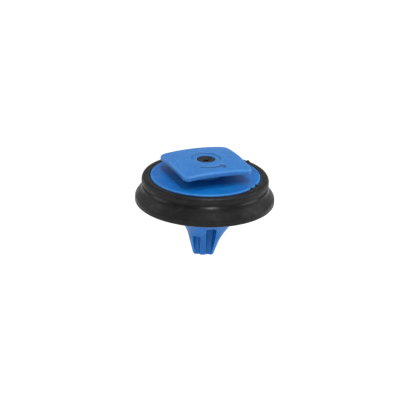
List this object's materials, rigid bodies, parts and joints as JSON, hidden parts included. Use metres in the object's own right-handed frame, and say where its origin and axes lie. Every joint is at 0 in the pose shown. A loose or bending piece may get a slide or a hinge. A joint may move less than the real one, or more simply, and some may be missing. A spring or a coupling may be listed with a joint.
{
  "type": "plug-in drip emitter",
  "caption": "Small round drip emitter that plugs into a punched wall hole: rubber-ringed blue body with a fluted inlet plug, a quarter-turn flow plate and a central drip orifice.",
  "frame": {"origin": "on the emitter's axis, in the plane of the rubber ring's sealing face", "axes": "+Z along the axis towards the flow knob, -Z towards the tip of the plug; +X through the wide side of the fluted stem, between its two long flutes"},
  "size_m": [0.022, 0.022, 0.0162],
  "materials": {
    "blue_plastic": "satin moulded polypropylene",
    "knob_plastic": "satin moulded polypropylene",
    "black_rubber": "moulded rubber, slightly dusty",
    "insert_rubber": "moulded rubber",
    "silicone": "translucent moulded silicone",
    "grey_plastic": "moulded polypropylene"
  },
  "bodies": {
    "housing": {"base": "blue_plastic", "seal_ring": "black_rubber", "cover": "blue_plastic", "valve_washer": "silicone", "labyrinth_plate": "grey_plastic", "inlet_screen": "grey_plastic"},
    "knob": {"knob": "knob_plastic", "outlet_insert": "insert_rubber", "neck_o_ring": "black_rubber"},
    "diaphragm": {"diaphragm": "silicone"}
  },
  "joints": [
    {"name": "knob_turn", "type": "hinge", "parent": "housing", "child": "knob", "pos_m": [0, 0, 0.0045], "axis": [0, 0, 1], "range_deg": [0, 90]},
    {"name": "diaphragm_lift", "type": "slide", "parent": "housing", "child": "diaphragm", "axis": [0, 0, 1], "range_m": [0, 0.00033], "stiffness_N_per_m": 5}
  ]
}
